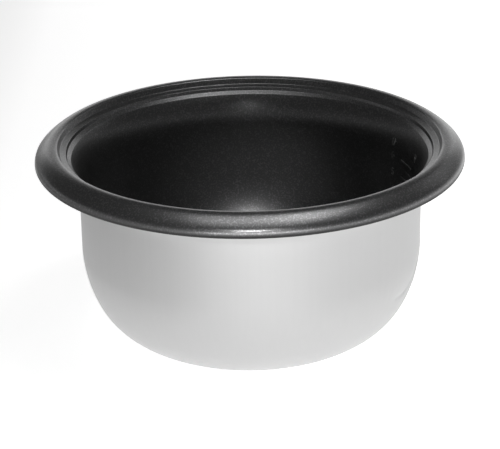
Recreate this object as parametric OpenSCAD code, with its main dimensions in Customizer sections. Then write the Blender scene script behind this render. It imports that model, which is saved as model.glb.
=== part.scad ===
// Removable inner pan of a rice cooker: a deep pan drawn from one aluminium sheet, with a
// wide turned-down rim, a dark non-stick lining and a printed water scale inside.
// Units are millimetres. +Z is up, the origin is the centre of the ring that the pan rests on.
// Every outline below is a list of [radius, height] points, which is then turned about Z.

/* [Pan] */
// Diameter over the rim's widest point
rim_d = 240; // [236:1:244]
// Height from the resting ring to the top of the rim
pan_h = 114; // [112:1:120]
// Outer diameter of the straight wall
body_d = 192; // [190:1:194]
// Diameter of the opening, at the inner edge of the lid step
opening_d = 199.6; // [199:0.1:200.4]
// Thickness of the aluminium sheet
sheet_t = 1.6; // [1.4:0.1:1.7]
// Thickness of the non-stick lining
coat_t = 0.2; // [0.1:0.05:0.3]

/* [Corner and base] */
// Outer radius of the lower, tighter part of the corner
corner_r = 40.6; // [38:0.2:42]
// Outer radius of the upper, flatter part of the corner
side_r = 69.3; // [66:0.1:71]
// Angle that the lower part of the corner turns through
corner_turn = 62.5; // [58:0.5:66]
// Height of the shallow dish pressed up into the middle of the base
dish_h = 0.8; // [0.4:0.1:1.2]
// Diameter of the dish
dish_d = 74; // [60:1:80]

/* [Rim] */
// Height of the opening's edge below the top of the rim
opening_drop = 8; // [7.6:0.1:8.2]
// Height of the flared band between the straight wall and the opening
flare_h = 19; // [17:0.5:21]
// Radius of the rim's top
crown_r = 7; // [6.6:0.1:7.4]
// Radius of the rim's long outer slope
slope_r = 23; // [21:0.5:25]
// Radius of the rim's side, above its widest point
side_roll_r = 5.8; // [5.4:0.1:6.2]
// Radius of the rolled edge, below the widest point
edge_roll_r = 2.3; // [2.2:0.1:2.6]

/* [Water scale] */
// Number of cups that the scale is marked for
cups = 6; // [3:1:6]
// Distance between two cup lines
cup_step = 10.4; // [8:0.1:10.4]
// Depth of the top line below the opening
top_line_drop = 20; // [19.5:0.1:22]
// Height of the numerals
numeral_h = 4.6; // [3:0.1:5.4]
// Thickness of the printed ink
ink_t = 0.12; // [0.08:0.01:0.2]

/* [Hidden] */
$fn = 180;

arc_step = 3;                       // degrees between two points of an arc
fillet_step = 10;                   // and of a small fillet
wall_t = sheet_t + coat_t;
rim_r = rim_d / 2;
body_r = body_d / 2;
dish_r = dish_d / 2;
dish_edge = 3;                      // half the width of the dish's sloping edge
opening_h = pan_h - opening_drop;
flare_z = opening_h - flare_h;      // height at which the straight wall ends
flare_spare = 2;                    // points of the flare that the step's fillet replaces

// Lid step inside the rim: its corners as [distance outwards, height] from the opening's edge
step_pts = [[0, 0], [2.2, 1.5], [2.7, 3.5], [4.1, 4.3]];
step_fillets = [0.8, 0.5, 0.5, 0.8];
crest_fillet = 1.2;                 // radius of the rim's inner edge
crest_angle = 109;                  // where the crown ends and its inner edge begins
crest_reach = 15;                   // part of the crown that the edge's fillet may use
slope_top = 60;                     // angles of the normal where the rim's arcs meet
slope_low = 43;
coat_end = -100;                    // the lining stops under the rolled edge
edge_end = -130;                    // and the sheet's cut edge follows it

// Angles along an arc, with both ends
function sweep(a, b) =
    let (n = max(1, ceil(abs(b - a) / arc_step)))
    [for (i = [0 : n]) a + (b - a) * i / n];

// Points of an arc about centre c, between two angles
function arc(c, r, a, b) = [for (t = sweep(a, b)) [c[0] + r * cos(t), c[1] + r * sin(t)]];

function unit(v) = v / norm(v);
function reversed(p) = [for (i = [len(p) - 1 : -1 : 0]) p[i]];
function part_of(p, first, last) = [for (i = [first : last]) p[i]];

// One corner b of a bent line, rounded to radius r as a short row of points
function rounded(a, b, c, r) =
    let (
        u = unit(a - b),
        v = unit(c - b),
        half = acos(u * v) / 2,
        reach = r / tan(half),
        centre = b + unit(u + v) * r / sin(half),
        p = b + u * reach - centre,
        q = b + v * reach - centre,
        start = atan2(p[1], p[0]),
        turn = atan2(p[0] * q[1] - p[1] * q[0], p * q),
        n = max(2, ceil(abs(turn) / fillet_step))
    )
    [for (i = [0 : n]) centre + r * [cos(start + turn * i / n), sin(start + turn * i / n)]];

// The same line, moved sideways by d to its right, which is into the metal
function moved(p, d) = [
    for (i = [0 : len(p) - 1])
        let (
            u = unit(p[max(i, 1)] - p[max(i, 1) - 1]),
            v = unit(p[min(i + 1, len(p) - 1)] - p[min(i, len(p) - 2)]),
            w = unit(u + v)
        )
        p[i] + [w[1], -w[0]] * d / (w * u)
];

// Base, corner and straight wall, measured inwards by t from the pan's outside
centre_step = (side_r - corner_r) * [sin(corner_turn), -cos(corner_turn)];
lower_c = [body_r - side_r + centre_step[0], corner_r];
upper_c = lower_c - centre_step;
function bowl(t) = concat(
    [[0, dish_h + t], [dish_r - dish_edge, dish_h + t], [dish_r + dish_edge, t]],
    arc(lower_c, corner_r - t, -90, corner_turn - 90),
    arc(upper_c, side_r - t, corner_turn - 90 + arc_step, 0)
);

// Flared band: an arc that leaves the wall upright and reaches the opening's edge
opening_r = opening_d / 2;
flare_out = opening_r - (body_r - wall_t);
flare_turn = 2 * atan(flare_out / flare_h);
flare_r = flare_h / sin(flare_turn);
flare_c = [body_r - wall_t + flare_r, flare_z];
function flare(t) = arc(flare_c, flare_r - wall_t + t, 180, 180 - flare_turn);

// Rim: three arcs that run into each other, from the crown down to the widest point,
// then the small roll of the edge. t is the depth below the visible surface.
function heading(a) = [cos(a), sin(a)];
roll_to_slope = (side_roll_r - slope_r) * heading(slope_low);
slope_to_crown = (slope_r - crown_r) * heading(slope_top);
crown_c = [rim_r - side_roll_r, 0] + roll_to_slope + slope_to_crown;
crown_at = [crown_c[0], pan_h - crown_r];
slope_at = crown_at - slope_to_crown;
roll_at = slope_at - roll_to_slope;
edge_at = roll_at + [side_roll_r - edge_roll_r, 0];
function rim(t, from, to) = concat(
    arc(crown_at, crown_r - t, from, slope_top),
    arc(slope_at, slope_r - t, slope_top - arc_step, slope_low),
    arc(roll_at, side_roll_r - t, slope_low - arc_step, 0),
    arc(edge_at, edge_roll_r - t, -arc_step, to)
);

// Lid step: the flare's end, four corners and the rim's inner edge, all rounded
opening_at = [opening_r, opening_h];
crest_at = crown_at + crown_r * heading(crest_angle);
before_step = flare_c + flare_r * heading(180 - flare_turn + arc_step);
after_crest = crown_at + crown_r * heading(crest_angle - crest_reach);
bends = concat([before_step], [for (p = step_pts) opening_at + p], [crest_at, after_crest]);
fillets = concat(step_fillets, [crest_fillet]);
lid_step = [
    for (i = [1 : len(bends) - 2])
        each rounded(bends[i - 1], bends[i], bends[i + 1], fillets[i - 1])
];

// The visible inner surface, from the middle of the floor to the end of the lining
flare_inner = flare(wall_t);
inner = concat(
    bowl(wall_t),
    part_of(flare_inner, 0, len(flare_inner) - 1 - flare_spare),
    lid_step,
    rim(0, crest_angle - crest_reach, coat_end)
);
// The bare sheet that goes on past the lining, and the surface between lining and sheet
tail = arc(edge_at, edge_roll_r, coat_end - arc_step, edge_end);
sheet_top = moved(concat(inner, tail), coat_t);

// The outside of the sheet: straight under the lid step, then parallel to the rim
channel_from = 171;
outer = concat(bowl(0), flare(0), rim(wall_t, channel_from, edge_end));

// Water scale, on the inner wall. Angles are about Z from +X, heights from the base.
line_from = 11.7;
line_to = 21.5;
half_line_to = 17.5;
line_w = 0.7;
numeral_at = 27.5;
symbol_at = 8.5;
symbol_drop = 11.6;
top_line = opening_h - top_line_drop;
stroke_w = 0.62;
grid_w = 3;                         // figures are drawn on a grid of this width and height
grid_h = 5;
glyph_reach = 20;                   // depth of the blocks that cut figures and lines from the ink
glyph_past = 4;                     // and how far they go on past the wall
ink_low = 24;                       // the ink's film covers this band of the wall
ink_high = 98;
ink_film = [for (p = concat(bowl(wall_t), flare_inner)) if (p[1] > ink_low && p[1] < ink_high) p];

// Numerals as bent lines on the grid
digits = [
    [[[0.6, 4.2], [1.6, 5], [1.6, 0]]],
    [[[0, 4], [0.8, 5], [2.2, 5], [3, 4.2], [3, 3.2], [0, 0], [3, 0]]],
    [[[0, 5], [3, 5], [1.4, 3.1], [2.4, 3], [3, 2.2], [3, 0.8], [2.2, 0], [0.8, 0], [0, 0.8]]],
    [[[3, 1.4], [0, 1.4], [2.2, 4.8]], [[2.2, 5.2], [2.2, 0]]],
    [[[2.8, 5], [0.4, 5], [0.2, 2.8], [2.2, 3], [3, 2.2], [3, 0.8], [2.2, 0], [0.8, 0], [0, 0.8]]],
    [[[2.4, 5], [0.9, 3.4], [0, 1.8], [0.8, 0], [2.2, 0], [3, 0.8], [3, 1.9], [2.2, 2.7], [1.3, 2.7]]]
];
// Symbols over the scale's two columns: a measuring cup, open at the top, and a level mark
measuring_cup = [[[0, 4.4], [0.5, 0.4], [2.1, 0.4], [2.6, 4.4]], [[2.4, 3.4], [3.4, 3], [2.2, 1.8]]];
level_mark = [[[0, 5], [0.4, 2.6], [2.6, 2.6], [3, 5]], [[1.5, 2.8], [1.5, 0]]];

// The thin film of ink that the numerals and lines are cut from
module ink() {
    rotate_extrude()
        polygon(concat(ink_film, reversed(moved(ink_film, -ink_t))));
}

// A bent line drawn with a stroke of even width
module stroke(line) {
    polygon(concat(moved(line, stroke_w / 2), reversed(moved(line, -stroke_w / 2))));
}

// A figure of bent lines, seen from the pan's middle, printed at an angle and a height
module print_figure(figure, angle, z) {
    grid = numeral_h / grid_h;
    intersection() {
        ink();
        rotate([0, 0, angle])
            translate([body_r - glyph_reach, 0, z - numeral_h / 2])
                rotate([90, 0, 90])
                    mirror([1, 0, 0])
                        translate([-grid * grid_w / 2, 0])
                            linear_extrude(height = glyph_reach + glyph_past)
                                for (line = figure)
                                    stroke(line * grid);
    }
}

// A printed line around part of the wall
module print_line(z, from, to) {
    intersection() {
        ink();
        rotate([0, 0, from])
            rotate_extrude(angle = to - from)
                translate([body_r - glyph_reach, z - line_w / 2])
                    square([glyph_reach, line_w]);
    }
}

module pan_shell() {
    color("silver")
        rotate_extrude()
            polygon(concat(outer, reversed(sheet_top)));
}

module nonstick_lining() {
    color("dimgray")
        rotate_extrude()
            polygon(concat(part_of(sheet_top, 0, len(inner) - 1), reversed(inner)));
}

module level_lines() {
    color("gray")
        for (i = [0 : cups - 1]) {
            print_line(top_line - i * cup_step, line_from, line_to);
            if (i < cups - 1)
                print_line(top_line - (i + 0.5) * cup_step, line_from, half_line_to);
        }
}

module level_numerals() {
    color("gray")
        for (i = [0 : cups - 1])
            print_figure(digits[cups - 1 - i], numeral_at, top_line - i * cup_step);
}

module scale_symbols() {
    color("gray") {
        print_figure(measuring_cup, numeral_at, opening_h - symbol_drop);
        print_figure(level_mark, symbol_at, opening_h - symbol_drop);
    }
}

pan_shell();
nonstick_lining();
level_lines();
level_numerals();
scale_symbols();
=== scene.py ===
# %% [markdown]
# # The inner pan of a rice cooker
#
# This lesson dresses one object: the removable pan that the rice cooks in. The real pan is one
# sheet of aluminium, pressed into a bowl, with its rim turned down and its edge rolled under.
# The inside has a dark non-stick lining that runs over the rim, and a water scale is printed on it.
#
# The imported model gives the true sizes. It is loaded first, and everything else is placed by it.

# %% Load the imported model
from math import acos, asin, atan, atan2, ceil, cos, degrees, pi, radians, sin

import bpy
from mathutils import Matrix, Vector


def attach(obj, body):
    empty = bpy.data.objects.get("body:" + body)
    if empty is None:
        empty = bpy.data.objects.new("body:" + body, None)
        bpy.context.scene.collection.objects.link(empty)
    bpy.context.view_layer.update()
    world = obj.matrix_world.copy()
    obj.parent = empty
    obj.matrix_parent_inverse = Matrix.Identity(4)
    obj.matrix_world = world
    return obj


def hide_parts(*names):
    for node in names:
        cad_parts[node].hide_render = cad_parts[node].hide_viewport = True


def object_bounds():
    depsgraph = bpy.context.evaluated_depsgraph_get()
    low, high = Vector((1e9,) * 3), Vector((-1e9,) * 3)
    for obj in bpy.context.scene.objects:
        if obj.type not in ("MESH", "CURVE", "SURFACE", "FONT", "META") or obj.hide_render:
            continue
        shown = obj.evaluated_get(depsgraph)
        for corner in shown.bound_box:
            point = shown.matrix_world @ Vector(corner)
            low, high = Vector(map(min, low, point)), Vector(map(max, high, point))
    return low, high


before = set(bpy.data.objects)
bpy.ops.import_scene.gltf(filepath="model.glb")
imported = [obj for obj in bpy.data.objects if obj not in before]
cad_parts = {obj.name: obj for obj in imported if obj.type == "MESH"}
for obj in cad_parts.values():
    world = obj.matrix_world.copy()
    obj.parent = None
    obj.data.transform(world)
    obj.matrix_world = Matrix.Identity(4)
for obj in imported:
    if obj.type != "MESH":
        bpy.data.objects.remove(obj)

MM = 0.001
cad_low, cad_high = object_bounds()
pan_height = cad_high.z - cad_low.z
rim_radius = (cad_high.x - cad_low.x) / 2
print(f"pan: rim {2 * rim_radius / MM:.1f} mm, height {pan_height / MM:.1f} mm")

# %% [markdown]
# ## Driving sizes
#
# A pressed pan has no flat sides and no corners: its section is a row of arcs that run into each
# other. So the sizes worth naming are the radii of those arcs, the same ones that the packed
# model was designed with. All of them are in metres from here on, and all angles in degrees.

# %% Name the sizes of the section
sheet = 1.6 * MM            # the aluminium sheet
coat = 0.2 * MM             # the lining, thicker than life so that it is a solid
wall = sheet + coat

body_radius = 96.0 * MM     # the straight wall, outside
corner_radius = 40.6 * MM   # lower part of the corner, and how far it turns
corner_turn = 62.5
side_radius = 69.3 * MM     # upper part of the corner
dish_height = 0.8 * MM      # shallow dish pressed up into the base
dish_radius = 37.0 * MM
dish_edge = 3.0 * MM        # half the width of its sloping edge
dish_bend = 5.0 * MM

opening_radius = 99.8 * MM  # inner edge of the step that a lid sits on
opening_height = pan_height - 8.0 * MM
flare_height = 19.0 * MM    # the band where the wall opens out under the step

crown_radius = 7.0 * MM     # the rim: top, long outer slope, side and rolled edge
slope_radius = 23.0 * MM
side_roll = 5.8 * MM
edge_roll = 2.3 * MM
print(f"body {2 * body_radius / MM:.1f} mm, opening {2 * opening_radius / MM:.1f} mm, "
      f"wall {wall / MM:.1f} mm")

# %% [markdown]
# ## The section as a list of arcs
#
# A point of the section is (radius from the axis, height). An arc is (centre, radius, from, to),
# with its angles in degrees, and the straight stretches are what is left between two arcs.
# A list of arcs has one great advantage over a list of points: the same section at another depth
# in the metal is the same list with every radius made a little larger or smaller. An arc that
# turns left, towards the pan's middle, grows with depth, and one that turns right shrinks.


# %% Write helpers for arcs
def toward(angle):
    return Vector((cos(radians(angle)), sin(radians(angle))))


def on_arc(centre, radius, angle):
    return Vector(centre) + radius * toward(angle)


def corner(before, at, after, radius):
    """The arc that rounds a corner of a bent line."""
    one, two = (before - at).normalized(), (after - at).normalized()
    half = one.angle(two) / 2
    centre = at + (one + two).normalized() * radius / sin(half)
    foot_one = at + one * radius / (sin(half) / cos(half)) - centre
    foot_two = at + two * radius / (sin(half) / cos(half)) - centre
    start = degrees(atan2(foot_one.y, foot_one.x))
    across = foot_one.x * foot_two.y - foot_one.y * foot_two.x
    return centre, radius, start, start + degrees(atan2(across, foot_one.dot(foot_two)))


def at_depth(arcs, depth):
    """The same section, deeper in the metal: arcs that turn left grow, and the others shrink."""
    return [(c, r + depth if b > a else r - depth, a, b) for c, r, a, b in arcs]


test_arc = ((0, 0), 5 * MM, 0, 90)
print("a 5 mm arc, one wall deeper:", round(at_depth([test_arc], wall)[0][1] / MM, 2), "mm")

# %% [markdown]
# ## The bowl
#
# The inside is drawn first, because the lining, the water scale and the lid all belong to it.
# The floor is pressed up a little in its middle, so that the pan stands on a ring. The corner
# between the floor and the wall is two arcs, a tight one and a wide one, which is how a deep
# drawing die is shaped. Above the straight wall a band flares out, along one large arc.

# %% Draw the section of the bowl and of the flared band
turned = Vector((sin(radians(corner_turn)), -cos(radians(corner_turn))))
centre_step = (side_radius - corner_radius) * turned
lower_centre = Vector((body_radius - side_radius + centre_step.x, corner_radius))
upper_centre = lower_centre - centre_step
base_radius = lower_centre.x            # the ring that the pan rests on
wall_radius = body_radius - wall        # the straight wall, inside

dish_top = dish_height + wall
dish_slope = [Vector((0, dish_top)), Vector((dish_radius - dish_edge, dish_top)),
              Vector((dish_radius + dish_edge, wall)), Vector((base_radius, wall))]
dish = [corner(*dish_slope[:3], dish_bend), corner(*dish_slope[1:], dish_bend)]

flare_out = opening_radius - wall_radius
flare_turn = 2 * degrees(atan(flare_out / flare_height))
flare_radius = flare_height / sin(radians(flare_turn))
flare_centre = Vector((wall_radius + flare_radius, opening_height - flare_height))

bowl = dish + [(lower_centre, corner_radius - wall, -90, corner_turn - 90),
               (upper_centre, side_radius - wall, corner_turn - 90, 0)]
print(f"base ring {2 * base_radius / MM:.1f} mm across, flare turns {flare_turn:.1f} degrees")

# %% [markdown]
# ## The rim
#
# The rim is wide, slopes outwards, turns down and is rolled under. Four arcs make it: a crown, a
# long slope that is nearly flat, a side and the roll. Two arcs flow into each other where they
# share a tangent, and then both centres lie on one line with the point where they meet. So only
# the radii and the meeting angles are given, and each centre follows from the one before it.

# %% Draw the section of the rim
slope_top, slope_low = 60, 43       # the rim's arcs meet where its surface faces these ways
crown_start = 109                   # where the crown meets the rim's inner edge
lining_end, sheet_end = -100, -130  # the lining stops under the roll, and the bare edge follows

side_to_slope = (side_roll - slope_radius) * toward(slope_low)
slope_to_crown = (slope_radius - crown_radius) * toward(slope_top)
crown_across = rim_radius - side_roll + (side_to_slope + slope_to_crown).x
crown_centre = Vector((crown_across, pan_height - crown_radius))
slope_centre = crown_centre - slope_to_crown
side_centre = slope_centre - side_to_slope
edge_centre = side_centre + Vector((side_roll - edge_roll, 0))


def rim(start, end):
    return [(crown_centre, crown_radius, start, slope_top),
            (slope_centre, slope_radius, slope_top, slope_low),
            (side_centre, side_roll, slope_low, 0),
            (edge_centre, edge_roll, 0, end)]


print(f"rim: crown centre {crown_centre.x / MM:.1f}, {crown_centre.y / MM:.1f} mm, "
      f"side centre {side_centre.x / MM:.1f}, {side_centre.y / MM:.1f} mm")

# %% [markdown]
# ## The lid step
#
# Inside the rim is a small stair of two treads, which a lid or a seal sits on, and then a steep
# wall up to the rim's crown. A press can't make a sharp corner, so each corner is a fillet. The
# stair is given by its corners, and the helper above rounds each of them by its own radius. The
# first and the last corner need a direction to come from and go to, and a point a little way
# back on the flare and a little way on over the crown gives it.

# %% Draw the section of the lid step
STAIR = [(0, 0), (2.2, 1.5), (2.7, 3.5), (6.0, 4.3)]    # mm out and up from the opening's edge
FILLETS = [0.8, 0.5, 0.5, 0.8, 1.2]                     # mm, one for each corner and the crest
lead_in, lead_out = 3, 15           # how far back on the flare and on over the crown
flare_left = 1.5                    # the end of the flare that the first fillet takes away

opening = Vector((opening_radius, opening_height))
stair = [opening + Vector(tread) * MM for tread in STAIR]
flare_before = on_arc(flare_centre, flare_radius, 180 - flare_turn + lead_in)
crest = on_arc(crown_centre, crown_radius, crown_start)
crown_after = on_arc(crown_centre, crown_radius, crown_start - lead_out)
bends = [flare_before, *stair, crest, crown_after]
step = [corner(*bends[i:i + 3], radius * MM) for i, radius in enumerate(FILLETS)]

flare = [(flare_centre, flare_radius, 180, 180 - flare_turn + flare_left)]
inside = bowl + flare + step + rim(step[-1][3], lining_end)
print(f"the inside is {len(inside)} arcs, from the floor's middle to the rolled edge")

# %% [markdown]
# ## Turning a section into a shell
#
# On a lathe, and in Blender, a round thing is its section turned about an axis. The section is
# drawn with two edit-mode tools: extrude moves the last point along a straight stretch, and spin
# swings it round an arc's centre. Two such lines, one for each face of the sheet, are joined
# across the cut edge, and one more spin, a full turn about Z, makes the closed shell. The points
# on the axis fall together, so they are merged, and the normals are made to point outwards.

# %% Write tools that start a section
TURN_STEPS = 240            # faces round the pan
CHORD_ERROR = 0.01 * MM     # how far a straight edge may stray from its arc
WIDEST_STEP = 10            # so that small fillets stay round too
SAME_PLACE = 0.005 * MM     # points closer than this are one point
SHARP_ANGLE = 40            # a steeper edge than this keeps its crease


def deselect_all():
    if bpy.context.mode != "OBJECT":
        bpy.ops.object.mode_set(mode="OBJECT")
    bpy.ops.object.select_all(action="DESELECT")


def new_point(place):
    """A plane, added in edit mode and merged into one point, is where a line begins."""
    bpy.ops.mesh.select_all(action="DESELECT")
    bpy.ops.mesh.primitive_plane_add(size=MM, location=(place[0], 0, place[1]))
    bpy.ops.mesh.merge(type="CENTER")
    return Vector(place)


print("points closer than", round(SAME_PLACE / MM, 3), "mm count as one")


# %% Write the pens for lines and arcs
def draw_line(pen, place):
    move = place - pen
    if move.length > SAME_PLACE:
        bpy.ops.mesh.extrude_region_move(TRANSFORM_OT_translate={"value": (move.x, 0, move.y)})
        return place.copy()
    return pen


def draw_arc(pen, arc):
    centre, radius, start, end = arc
    pen = draw_line(pen, on_arc(centre, radius, start))
    step = min(WIDEST_STEP, 2 * degrees(acos(1 - CHORD_ERROR / radius)))
    bpy.ops.mesh.spin(steps=ceil(abs(end - start) / step), angle=radians(end - start),
                      center=(centre[0], 0, centre[1]), axis=(0, 1, 0))
    return on_arc(centre, radius, end)


def draw_section(arcs):
    """One open line from the axis along all the arcs. It leaves its last point selected."""
    pen = new_point((0, on_arc(*arcs[0][:3]).y))
    for arc in arcs:
        pen = draw_arc(pen, arc)
    return pen


def last_points(mesh, ends):
    """Selects the points that lie at the ends of the two lines."""
    bpy.ops.object.mode_set(mode="OBJECT")
    for v in mesh.vertices:
        v.select = any((v.co - Vector((e.x, 0, e.y))).length < 2 * SAME_PLACE for e in ends)
    bpy.ops.object.mode_set(mode="EDIT")


print(f"an arc of 40 mm has a point every {2 * degrees(acos(1 - CHORD_ERROR / 0.04)):.1f} degrees")


# %% Write the tool that turns two sections into a shell
def turned_shell(name, one_face, other_face):
    """A closed shell of revolution between two sections that both start on the axis."""
    deselect_all()
    bpy.ops.mesh.primitive_plane_add(size=MM)
    shell = bpy.context.object
    shell.name = shell.data.name = name
    bpy.ops.object.mode_set(mode="EDIT")
    bpy.ops.mesh.select_all(action="SELECT")
    bpy.ops.mesh.delete(type="VERT")
    bpy.ops.mesh.select_mode(type="VERT")
    ends = [draw_section(one_face), draw_section(other_face)]
    last_points(shell.data, ends)
    bpy.ops.mesh.edge_face_add()
    bpy.ops.mesh.select_all(action="SELECT")
    bpy.ops.mesh.spin(steps=TURN_STEPS, angle=2 * pi, center=(0, 0, 0), axis=(0, 0, 1))
    bpy.ops.mesh.select_all(action="SELECT")
    bpy.ops.mesh.remove_doubles(threshold=0.002 * MM)
    bpy.ops.mesh.normals_make_consistent(inside=False)
    bpy.ops.object.mode_set(mode="OBJECT")
    bpy.ops.object.shade_smooth_by_angle(angle=radians(SHARP_ANGLE))
    print(f"{name}: {len(shell.data.polygons)} faces")
    return shell


print("turning in", TURN_STEPS, "steps")

# %% [markdown]
# ## The pan's metal
#
# The outside of the sheet is smoother than the inside: the press forms the step's small treads
# from within, and the back of the metal only follows their slope. So the outer section goes
# straight from the flared band to the step's heel, and then steeply up into the channel under
# the rim. The inner section is the lining's, one coat deeper. The sheet goes a little further
# round the roll than the lining does, which leaves the bare cut edge that can be felt under a
# real rim.

# %% Make the pan
channel_start = 101                 # where the channel under the rim begins, seen from its crown
under_bowl = at_depth(bowl, wall)
under_flare = [(flare_centre, flare_radius - wall, 180, 180 - flare_turn)]
under_rim = at_depth(rim(channel_start, sheet_end), wall)

flare_end = on_arc(flare_centre, flare_radius - wall, 180 - flare_turn)
heel = opening + Vector((7.27, 2.75)) * MM      # one wall away from the stair's last corner
heel_radius = 1.6 * MM
channel_top = on_arc(crown_centre, crown_radius - wall, channel_start)
under_step = [corner(flare_end, heel, channel_top, heel_radius)]

below = under_bowl + under_flare + under_step + under_rim
above = at_depth(bowl + flare + step + rim(step[-1][3], sheet_end), coat)
pan = turned_shell("pan", below, above)
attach(pan, "root")
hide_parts("pan_shell")

# %% [markdown]
# ## The lining
#
# The lining is a coat sprayed on the whole inside and over the rim. It is a closed shell of its
# own, because it is another material with an edge of its own, which shows under the rim. Its
# outer face is the inside's section, and its inner face the same section one coat deeper.

# %% Make the lining
lining = turned_shell("lining", inside, at_depth(inside, coat))
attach(lining, "root")
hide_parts("nonstick_lining")

# %% [markdown]
# ## A dent in the wall
#
# This pan has been knocked once: low on its right side there is a shallow dent with a crease
# along its upper edge. A dent is pushed in here too. The faces around it are cut finer,
# and then the points along the crease are moved inwards, and proportional editing lets the
# metal around them follow softly. It goes less deep than the sheet is thick, and it is deepest
# where the blow fell, at its higher end.

# %% Lay the crease on the wall
CREASE = [(78, 46), (75, 43), (72.5, 39), (69, 36.6),       # degrees from the front, mm high
          (65, 36), (61, 36.2), (57, 37)]
DENT_MIDDLE = (67, 37)


def on_wall(degrees_from_front, mm_high):
    """A point of the outside, in the wide arc, with the direction that it faces."""
    rise = mm_high * MM - upper_centre.y
    tilt = asin(rise / side_radius)
    turn = radians(degrees_from_front)
    out = Vector((sin(turn), -cos(turn), 0))
    place = out * (upper_centre.x + side_radius * cos(tilt)) + Vector((0, 0, mm_high * MM))
    return place, out * cos(tilt) + Vector((0, 0, sin(tilt)))


crease = []
for start, end in zip(CREASE, CREASE[1:]):
    for part in (0, 0.25, 0.5, 0.75):
        crease.append(on_wall(*Vector(start).lerp(Vector(end), part))[0])
dent_middle, dent_out = on_wall(*DENT_MIDDLE)
print(f"crease: {len(crease)} points, {(crease[0] - crease[-1]).length / MM:.0f} mm across")

# %% Cut the wall finer where the dent comes
DENT_REACH = 29 * MM        # how far the finer faces go from the dent's middle
GRIP = 0.9 * MM             # points this near the crease are the ones that are pushed


def select_near(shell, places, reach, kind):
    """Selects the outside's points or faces within reach of any of the places."""
    deselect_all()
    shell.select_set(True)
    bpy.context.view_layer.objects.active = shell
    bpy.ops.object.mode_set(mode="EDIT")
    bpy.ops.mesh.select_mode(type=kind)
    bpy.ops.mesh.select_all(action="DESELECT")
    bpy.ops.object.mode_set(mode="OBJECT")
    count = 0
    for part in shell.data.vertices if kind == "VERT" else shell.data.polygons:
        middle = part.co if kind == "VERT" else part.center
        near = any((middle - place).length < reach for place in places)
        if near and part.normal.dot(dent_out) > 0:
            part.select = True
            count += 1
    bpy.ops.object.mode_set(mode="EDIT")
    return count


cut = select_near(pan, [dent_middle], DENT_REACH, "FACE")
bpy.ops.mesh.subdivide(number_cuts=2, smoothness=0)
bpy.ops.object.mode_set(mode="OBJECT")
print(f"{cut} faces cut finer, {len(pan.data.polygons)} in all")

# %% Push the crease in, softly first and then sharply
PUSHES = [(9, 0.35, 1.0), (2.2, 0.40, 1.0),         # reach and depth in mm, share of the crease
          (2.2, 0.30, 0.7), (2.2, 0.20, 0.4)]
for reach, depth, share in PUSHES:
    moved = select_near(pan, crease[:ceil(share * len(crease))], GRIP, "VERT")
    bpy.ops.transform.translate(value=-dent_out * depth * MM, use_proportional_edit=True,
                                proportional_edit_falloff="SMOOTH",
                                proportional_size=reach * MM)
    bpy.ops.object.mode_set(mode="OBJECT")
    print(f"{moved} points pushed in by {depth} mm")

# %% [markdown]
# ## The water scale's numerals
#
# The printed figures are real figures, so they start as text. Each becomes a mesh with the
# thickness of a film of ink, and only then is it stood up against the wall, facing the middle.
# The lowest ones lean back, because the wall already curves there. The scale's lines and marks
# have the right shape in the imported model, so they stay, and only get their ink.

# %% Write the numerals
CUPS = 6
CAPITAL = 0.7                       # the height of a figure, as a share of the font's size
numeral_height = 4.6 * MM
numeral_turn = 27.5                 # degrees about Z from +X
cup_step = 10.4 * MM
top_line = opening_height - 20 * MM
ink_film = 0.12 * MM


def wall_inside(height):
    """Radius of the inner wall, and how far it leans back, at a height above the tight corner."""
    if height > upper_centre.y:
        return wall_radius, 0.0
    reach = side_radius - wall
    tilt = asin((height - upper_centre.y) / reach)
    return upper_centre.x + reach * cos(tilt), tilt


def write(figure, turn, height):
    """One figure of ink, standing on the inner wall and facing the axis."""
    deselect_all()
    bpy.ops.object.text_add()
    figure_object = bpy.context.object
    text = figure_object.data
    text.body = figure
    text.size = numeral_height / CAPITAL
    text.align_x, text.align_y = "CENTER", "CENTER"
    text.extrude = ink_film / 2
    bpy.ops.object.convert(target="MESH")
    radius, tilt = wall_inside(height)
    angle = radians(turn)
    out = Vector((cos(angle), sin(angle), 0))
    facing = -(out * cos(tilt) + Vector((0, 0, sin(tilt))))
    up = out * -sin(tilt) + Vector((0, 0, cos(tilt)))
    stand = Matrix((up.cross(facing), up, facing)).transposed().to_4x4()
    stand.translation = out * radius + Vector((0, 0, height)) + facing * ink_film / 2
    figure_object.matrix_world = stand
    bpy.ops.object.transform_apply(location=True, rotation=True, scale=True)
    return figure_object


figures = [write(str(CUPS - i), numeral_turn, top_line - i * cup_step) for i in range(CUPS)]
print("figures:", len(figures))

# %% Join the numerals into one piece
deselect_all()
for figure_object in figures:
    figure_object.select_set(True)
bpy.context.view_layer.objects.active = figures[0]
bpy.ops.object.join()
numerals = bpy.context.object
numerals.name = numerals.data.name = "numerals"
bpy.ops.object.mode_set(mode="EDIT")
bpy.ops.mesh.select_all(action="SELECT")
bpy.ops.mesh.remove_doubles(threshold=0.001 * MM)
bpy.ops.mesh.normals_make_consistent(inside=False)
bpy.ops.object.mode_set(mode="OBJECT")
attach(numerals, "root")
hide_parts("level_numerals")
print("numerals:", len(numerals.data.polygons), "faces")

# %% [markdown]
# ## What the finishes share
#
# Metal, lining and ink all have a fine grain, and all are slightly uneven over a hand's breadth.
# Each effect is a node group, built once. What differs, how coarse and how strong it is, comes
# in through its sockets. All patterns read object coordinates, so they stay on the piece. A
# third group tells how far a place is from the pan's axis and how high, for what happens in
# rings.


# %% Write helpers for node trees
def new_group(name, inputs, outputs):
    group = bpy.data.node_groups.new(name, "ShaderNodeTree")
    for socket, kind in inputs.items():
        group.interface.new_socket(socket, in_out="INPUT", socket_type=kind)
    for socket, kind in outputs.items():
        group.interface.new_socket(socket, in_out="OUTPUT", socket_type=kind)
    return group, group.nodes.new("NodeGroupInput"), group.nodes.new("NodeGroupOutput")


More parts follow.
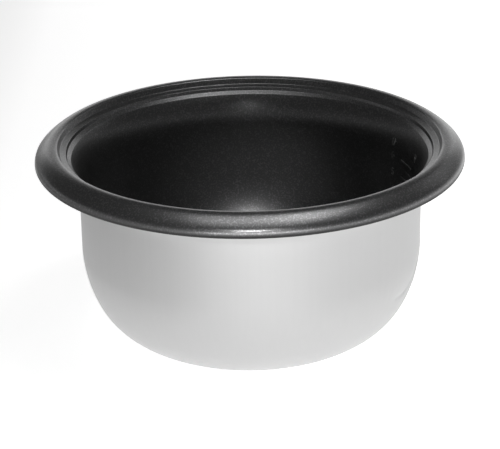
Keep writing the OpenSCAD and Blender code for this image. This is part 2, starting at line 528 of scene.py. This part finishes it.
def add(tree, kind, **settings):
    """A node with its settings, and the values of its own sockets by name or number."""
    node = tree.nodes.new(kind)
    for key, value in settings.items():
        if key == "values":
            for socket, number in value.items():
                node.inputs[socket].default_value = number
        else:
            setattr(node, key, value)
    return node


def calculate(tree, operation, first, second):
    node = add(tree, "ShaderNodeMath", operation=operation)
    for socket, value in zip(node.inputs, (first, second)):
        if isinstance(value, (int, float)):
            socket.default_value = value
        elif value is not None:
            tree.links.new(value, socket)
    return node.outputs[0]


FLOAT, VECTOR = "NodeSocketFloat", "NodeSocketVector"
print("groups so far:", len(bpy.data.node_groups))

# %% Build the groups
grain, entry, leave = new_group(
    "fine_grain", {"Place": VECTOR, "Fineness": FLOAT, "Strength": FLOAT},
    {"Grain": FLOAT, "Height": FLOAT})
small = add(grain, "ShaderNodeTexNoise", values={"Detail": 3.0, "Roughness": 0.6})
flecks = add(grain, "ShaderNodeTexVoronoi", feature="F1")
for texture in (small, flecks):
    grain.links.new(entry.outputs["Place"], texture.inputs["Vector"])
    grain.links.new(entry.outputs["Fineness"], texture.inputs["Scale"])
half_flecks = calculate(grain, "MULTIPLY", flecks.outputs["Distance"], 0.5)
mixed = calculate(grain, "ADD", small.outputs["Fac"], half_flecks)
grain.links.new(mixed, leave.inputs["Grain"])
raised = calculate(grain, "MULTIPLY", mixed, entry.outputs["Strength"])
grain.links.new(raised, leave.inputs["Height"])

clouds, entry, leave = new_group(
    "soft_clouds", {"Place": VECTOR, "Breadth": FLOAT, "Low": FLOAT, "High": FLOAT},
    {"Cloud": FLOAT})
wide = add(clouds, "ShaderNodeTexNoise", values={"Detail": 4.0, "Roughness": 0.55})
spread = add(clouds, "ShaderNodeMapRange", values={"From Min": 0.3, "From Max": 0.7})
clouds.links.new(entry.outputs["Place"], wide.inputs["Vector"])
clouds.links.new(calculate(clouds, "DIVIDE", 1.0, entry.outputs["Breadth"]), wide.inputs["Scale"])
clouds.links.new(wide.outputs["Fac"], spread.inputs["Value"])
clouds.links.new(entry.outputs["Low"], spread.inputs["To Min"])
clouds.links.new(entry.outputs["High"], spread.inputs["To Max"])
clouds.links.new(spread.outputs["Result"], leave.inputs["Cloud"])
axis, entry, leave = new_group("from_axis", {"Place": VECTOR}, {"Radius": FLOAT, "Height": FLOAT})
parts = add(axis, "ShaderNodeSeparateXYZ")
axis.links.new(entry.outputs["Place"], parts.inputs["Vector"])
squares = [calculate(axis, "POWER", parts.outputs[i], 2.0) for i in ("X", "Y")]
away = calculate(axis, "SQRT", calculate(axis, "ADD", *squares), None)
axis.links.new(away, leave.inputs["Radius"])
axis.links.new(parts.outputs["Z"], leave.inputs["Height"])
print("groups:", grain.name, clouds.name, axis.name)

# %% [markdown]
# ## From group to finish
#
# Each finish is a material with one shader, and the groups feed its colour, roughness and bump.
# The same few moves come back in every finish, so they are helpers: start a material, place a
# group in it, run between two colours, raise the surface, and put the material on a piece.


# %% Write helpers for the finishes
def finish(name, metallic, roughness):
    material = bpy.data.materials.new(name)
    material.use_nodes = True
    tree = material.node_tree
    shader = tree.nodes["Principled BSDF"]
    shader.inputs["Metallic"].default_value = metallic
    shader.inputs["Roughness"].default_value = roughness
    shader.inputs["IOR"].default_value = 1.5
    return material, tree, shader, add(tree, "ShaderNodeTexCoord").outputs["Object"]


def use(tree, group, place, **values):
    """A group placed in a material with its own values."""
    node = add(tree, "ShaderNodeGroup", node_tree=group)
    tree.links.new(place, node.inputs["Place"])
    for socket, value in values.items():
        node.inputs[socket].default_value = value
    return node


def between(tree, factor, low, high):
    """A colour that runs from low to high with a factor. Each end is a colour or an output."""
    mix = add(tree, "ShaderNodeMix", data_type="RGBA")
    factor_in, *ends = [socket for socket in mix.inputs if socket.enabled]
    for socket, colour in zip(ends, (low, high)):
        if isinstance(colour, tuple):
            socket.default_value = (*colour, 1)
        else:
            tree.links.new(colour, socket)
    tree.links.new(factor, factor_in)
    return next(socket for socket in mix.outputs if socket.enabled)


print("finishes so far:", [m.name for m in bpy.data.materials])


# %% Write helpers that raise a surface and dress a piece
def raise_surface(tree, shader, height, depth):
    bump = add(tree, "ShaderNodeBump", values={"Strength": 1.0, "Distance": depth})
    tree.links.new(height, bump.inputs["Height"])
    tree.links.new(bump.outputs["Normal"], shader.inputs["Normal"])


def dress(piece, material):
    """The material goes into the piece's slots. A new piece has none, so it gets one."""
    if not piece.material_slots:
        piece.data.materials.append(None)
    for slot in piece.material_slots:
        slot.material = material
    print(piece.name, "wears", material.name)


print("pieces to dress:", [o.name for o in (pan, lining, numerals)])

# %% [markdown]
# ## Satin aluminium
#
# The outside was drawn, then blasted with fine beads, so it shines softly and shows no streaks
# from a brush. Two things break the evenness: faint upright marks, where the sheet was dragged
# over the die, and fine rings under the base, from the lathe that flattened it. Upright marks
# are a noise whose place is stretched along Z, and rings are a wave of the radius.

# %% Make the aluminium
RING_PITCH = 0.45 * MM              # one groove of the lathe to the next
RING_TOP, RING_FULL = 2.2 * MM, 0.8 * MM    # the rings fade in between these heights

aluminium, tree, shader, place = finish("satin_aluminium", 1.0, 0.63)
blasted = use(tree, grain, place, Fineness=1400.0, Strength=0.5)
uneven = use(tree, clouds, place, Breadth=0.05, Low=0.0, High=1.0)
stretch = add(tree, "ShaderNodeMapping", values={"Scale": (420.0, 420.0, 9.0)})
tree.links.new(place, stretch.inputs["Vector"])
drag = add(tree, "ShaderNodeTexNoise", values={"Scale": 1.0, "Detail": 2.0})
tree.links.new(stretch.outputs["Vector"], drag.inputs["Vector"])
spot = use(tree, axis, place)
waves = calculate(tree, "MULTIPLY", spot.outputs["Radius"], 2 * pi / RING_PITCH)
rings = calculate(tree, "SINE", waves, None)
at_base = add(tree, "ShaderNodeMapRange", values={"From Min": RING_TOP, "From Max": RING_FULL})
tree.links.new(spot.outputs["Height"], at_base.inputs["Value"])
ring_strength = calculate(tree, "MULTIPLY", at_base.outputs["Result"], 0.5)
rings_here = calculate(tree, "MULTIPLY", rings, ring_strength)
marks = calculate(tree, "MULTIPLY", drag.outputs["Fac"], 0.35)
height = calculate(tree, "ADD", blasted.outputs["Height"],
                   calculate(tree, "ADD", marks, rings_here))
raise_surface(tree, shader, height, 0.012 * MM)
tone = calculate(tree, "ADD", calculate(tree, "MULTIPLY", uneven.outputs["Cloud"], 0.6),
                 calculate(tree, "MULTIPLY", drag.outputs["Fac"], 0.4))
tree.links.new(between(tree, tone, (0.61, 0.61, 0.611), (0.65, 0.65, 0.649)),
               shader.inputs["Base Color"])
rough = add(tree, "ShaderNodeMapRange", values={"To Min": 0.60, "To Max": 0.66})
tree.links.new(uneven.outputs["Cloud"], rough.inputs["Value"])
tree.links.new(rough.outputs["Result"], shader.inputs["Roughness"])
dress(pan, aluminium)

# %% [markdown]
# ## Non-stick lining
#
# The lining is sprayed on and baked: nearly black, with a satin shine, a fine skin like that of
# an orange, and tiny lighter specks of the filler that makes it hard. It holds metal flakes, so
# it mirrors more than plastic does: mostly metallic, but with a dark colour, so that its body
# stays dark where no light is mirrored.
#
# Under the rim's edge, where the roll faces down into shade, the lining gets painted shade: its
# colour turns near black, and it is made rougher and less metallic, so that it mirrors less there.

# %% Make the lining's finish
# The lining's metallic, then the lower metallic and the two heights of the painted shade under the
# rim's roll.
LINING_METALLIC, SHADE_METALLIC = 0.85, 0.25
SHADE_TOP, SHADE_FULL = side_centre.y + 1.2 * MM, side_centre.y - 0.6 * MM

nonstick, tree, shader, place = finish("dark_nonstick_coat", LINING_METALLIC, 0.32)
skin = use(tree, grain, place, Fineness=1100.0, Strength=0.8)
uneven = use(tree, clouds, place, Breadth=0.04, Low=0.30, High=0.34)
specks = add(tree, "ShaderNodeMapRange", values={"From Min": 0.78, "From Max": 0.95})
tree.links.new(skin.outputs["Grain"], specks.inputs["Value"])
raise_surface(tree, shader, skin.outputs["Height"], 0.012 * MM)
flaked = between(tree, specks.outputs["Result"], (0.19, 0.19, 0.192), (0.30, 0.30, 0.303))
print("flakes run from 0.19 to 0.30 in brightness")

# %% Paint shade on the lining under the rim's edge
spot = use(tree, axis, place)
outside = calculate(tree, "GREATER_THAN", spot.outputs["Radius"], opening_radius + 10 * MM)
under = add(tree, "ShaderNodeMapRange", values={"From Min": SHADE_TOP, "From Max": SHADE_FULL})
tree.links.new(spot.outputs["Height"], under.inputs["Value"])
painted_shade = calculate(tree, "MULTIPLY", under.outputs["Result"], outside)
# Painted shade: under the roll, the lining's colour runs to near black.
tree.links.new(between(tree, painted_shade, flaked, (0.02, 0.02, 0.02)), shader.inputs["Base Color"])
rougher = calculate(tree, "MULTIPLY", painted_shade, 0.35)
tree.links.new(calculate(tree, "ADD", uneven.outputs["Cloud"], rougher), shader.inputs["Roughness"])
less_metal = calculate(tree, "MULTIPLY", painted_shade, LINING_METALLIC - SHADE_METALLIC)
tree.links.new(calculate(tree, "SUBTRACT", LINING_METALLIC, less_metal), shader.inputs["Metallic"])
dress(lining, nonstick)
print("lining dry below", round(side_centre.y / MM, 1), "mm")

# %% [markdown]
# ## Printed ink
#
# The scale is printed in a grey that barely stands out from the lining, a little rubbed by use.

# %% Make the ink
ink, tree, shader, place = finish("grey_printing_ink", 0.0, 0.5)
paste = use(tree, grain, place, Fineness=1600.0, Strength=0.6)
rubbed = use(tree, clouds, place, Breadth=0.004, Low=0.0, High=1.0)
raise_surface(tree, shader, paste.outputs["Height"], 0.01 * MM)
tree.links.new(between(tree, rubbed.outputs["Cloud"], (0.12, 0.12, 0.12), (0.45, 0.45, 0.45)),
               shader.inputs["Base Color"])
dress(numerals, ink)
for node in ("level_lines", "scale_symbols"):
    dress(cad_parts[node], ink)

# %% [markdown]
# ## The set
#
# A plain pale floor, soft light, and a camera a little above the rim.
#
# The floor glows, like a light table, so the shadow stays pale and the pan's underside doesn't
# sink into the dark. The satin metal mirrors mostly floor, so the floor's glow also shapes the
# body: a little stronger on the right, which keeps that side lighter, fading out far to the
# left, and weak under the pan, where a real floor gets no light.

# %% Make the floor
GLOW_LEFT, GLOW_RIGHT = 0.70, 1.00
deselect_all()
bpy.ops.mesh.primitive_plane_add(size=8)
floor = bpy.context.object
floor.name = "floor"
pale, tree, shader, place = finish("pale_floor", 0.0, 0.9)
speck = use(tree, clouds, place, Breadth=0.3, Low=0.0, High=1.0)
tree.links.new(between(tree, speck.outputs["Cloud"], (0.92, 0.92, 0.92), (0.94, 0.94, 0.94)),
               shader.inputs["Base Color"])
shader.inputs["Emission Strength"].default_value = 1.0
spot = use(tree, axis, place)
under_pan = add(tree, "ShaderNodeMapRange", values={"From Min": 0.040, "From Max": 0.080,
                                                    "To Min": 0.15, "To Max": 1.0})
tree.links.new(spot.outputs["Radius"], under_pan.inputs["Value"])
sides = add(tree, "ShaderNodeSeparateXYZ")
tree.links.new(place, sides.inputs["Vector"])
across = add(tree, "ShaderNodeMapRange", values={"From Min": -0.2, "From Max": 0.3,
                                                 "To Min": GLOW_LEFT, "To Max": GLOW_RIGHT})
fade = add(tree, "ShaderNodeMapRange", values={"From Min": -0.50, "From Max": -0.17})
for ramp in (across, fade):
    tree.links.new(sides.outputs["X"], ramp.inputs["Value"])
strength = calculate(tree, "MULTIPLY", across.outputs["Result"], fade.outputs["Result"])
strength = calculate(tree, "MULTIPLY", strength, under_pan.outputs["Result"])
tree.links.new(strength, shader.inputs["Emission Color"])
dress(floor, pale)


# %% [markdown]
# ## The light
#
# A pan shows little of itself and much of what stands round it, so the light is a small room of
# soft boxes, placed by direction: a turn from the front, and a height above the horizon. What
# each one does was found by lighting them one at a time:
#
# - two boxes overhead draw the bright patch on the rim's outer slope,
# - a long low bar in front gives the fine streak on the rim's side and rounds the body,
# - a low screen behind, and a small one at its right, lighten the rim's top and its far edge,
# - a narrow beam over the front edge makes the glow deep inside.

# %% Set up the soft boxes
PAN_MIDDLE = Vector((0, 0, 0.09))


def from_pan(turn, height):
    """A direction away from the pan: a turn from the front, and a height over the horizon."""
    return Vector((sin(radians(turn)) * cos(radians(height)),
                   -cos(radians(turn)) * cos(radians(height)), sin(radians(height))))


def soft_box(name, turn, height, distance, width, tall, glow):
    """A soft box by its direction. Its glow is the brightness of its face."""
    away = from_pan(turn, height)
    deselect_all()
    bpy.ops.object.light_add(type="AREA", location=PAN_MIDDLE + away * distance)
    light = bpy.context.object
    light.name = name
    light.data.shape = "RECTANGLE"
    light.data.size, light.data.size_y = width, tall
    light.data.energy = pi * width * tall * glow
    light.rotation_euler = (-away).to_track_quat("-Z", "Y").to_euler()
    light.visible_camera = False
    print(f"{name}: {light.data.energy:.1f} W")


soft_box("overhead", 0, 79, 1.3, 0.80, 0.56, 1.8)
soft_box("overhead_right", 75, 72, 1.3, 0.50, 0.40, 3.0)
soft_box("low_bar", 3, 0.8, 1.5, 1.30, 0.08, 20.0)
soft_box("screen_behind", 180, 13, 1.5, 1.80, 0.60, 0.9)
soft_box("back_right", 130, 27, 1.5, 0.60, 0.50, 0.35)

# %% [markdown]
# The beam is a spot, because it has to pass over the rim's front edge and reach only the lower
# part of the back wall. Its cone is narrow and soft all the way to its middle.

# %% Set up the beam into the pan
BEAM_HEIGHT, BEAM_DISTANCE, BEAM_CONE = 28, 1.2, 5.2    # degrees, metres, degrees
deep = Vector((0, upper_centre.x + 0.8 * side_radius, 0.27 * pan_height))
beam_away = from_pan(0, BEAM_HEIGHT)
deselect_all()
bpy.ops.object.light_add(type="SPOT", location=deep + beam_away * BEAM_DISTANCE)
beam = bpy.context.object
beam.name = "beam"
beam.data.spot_size, beam.data.spot_blend = radians(BEAM_CONE), 1.0
beam.data.shadow_soft_size = 0.03
beam.data.energy = 22
beam.rotation_euler = (-beam_away).to_track_quat("-Z", "Y").to_euler()
beam.visible_camera = False
print("beam aimed", round(deep.z / MM), "mm above the floor")

# %% [markdown]
# The surroundings are dark, so that the inside of the pan is too, except for a pale ring at the
# horizon. The rim's side faces it and would otherwise turn black at the left and the right.

# %% Make the surroundings
RING_EDGE, RING_END = 4, 13         # the ring is full below the first height, gone at the second
world = bpy.data.worlds.new("studio")
bpy.context.scene.world = world
world.use_nodes = True
room = world.node_tree
direction = add(room, "ShaderNodeTexCoord").outputs["Generated"]
rise = add(room, "ShaderNodeSeparateXYZ")
room.links.new(direction, rise.inputs["Vector"])
ring = add(room, "ShaderNodeMapRange", values={"From Min": sin(radians(RING_EDGE)),
                                               "From Max": sin(radians(RING_END)),
                                               "To Min": 0.5, "To Max": 0.03})
room.links.new(rise.outputs["Z"], ring.inputs["Value"])
room.links.new(ring.outputs["Result"], room.nodes["Background"].inputs["Color"])
print(f"horizon ring fades out at {RING_END} degrees")

# %% [markdown]
# ## The camera
#
# The camera looks down into the pan from about an arm's length, through a long lens, which keeps
# the rim's ellipse calm. It is aimed a little above the middle of the pan's height, and it leans
# slightly, as a camera held by hand does.

# %% Place the camera
camera_height = 22.51
camera_roll = 0.96
camera_distance = 1.137
camera_lens = 144.0
aim = Vector((-0.0005, 0, 0.54 * pan_height))

deselect_all()
back = from_pan(0, camera_height)
bpy.ops.object.camera_add(location=aim + back * camera_distance)
camera = bpy.context.object
camera.data.lens = camera_lens
turn = (-back).to_track_quat("-Z", "Y").to_matrix() @ Matrix.Rotation(radians(-camera_roll), 3, "Z")
camera.rotation_euler = turn.to_euler()
camera.data.clip_end = 20
bpy.context.scene.camera = camera
bpy.context.scene.view_settings.view_transform = "Standard"
print(f"camera {camera.location.length:.2f} m from the pan, {camera_height} degrees up")
